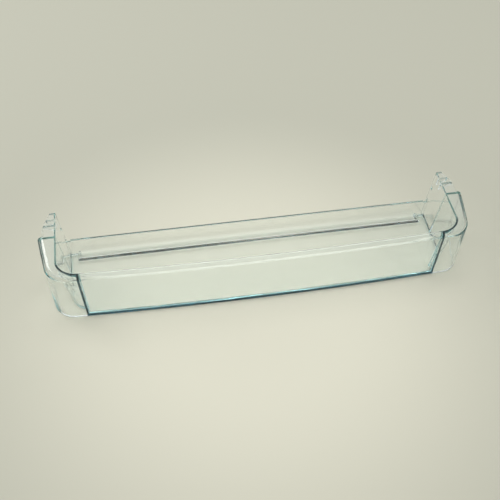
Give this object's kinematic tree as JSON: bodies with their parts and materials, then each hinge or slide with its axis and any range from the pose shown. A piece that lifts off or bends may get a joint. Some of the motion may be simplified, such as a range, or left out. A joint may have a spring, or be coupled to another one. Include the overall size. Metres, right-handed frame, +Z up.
{
  "type": "refrigerator door shelf",
  "caption": "Clear moulded refrigerator door shelf: long shallow tray with a bowed front wall under a rolled rim, low back wall, hollow rounded end wings and rear ears that hang on the door.",
  "frame": {"origin": "middle of the shelf's length and depth, on its flat underside", "axes": "+X along the length to the right as seen from the front, +Y from the front wall to the door, +Z up"},
  "size_m": [0.47, 0.099, 0.065],
  "materials": {
    "clear_plastic": "clear, polished"
  },
  "bodies": {
    "root": {"door_shelf": "clear_plastic"}
  },
  "joints": []
}
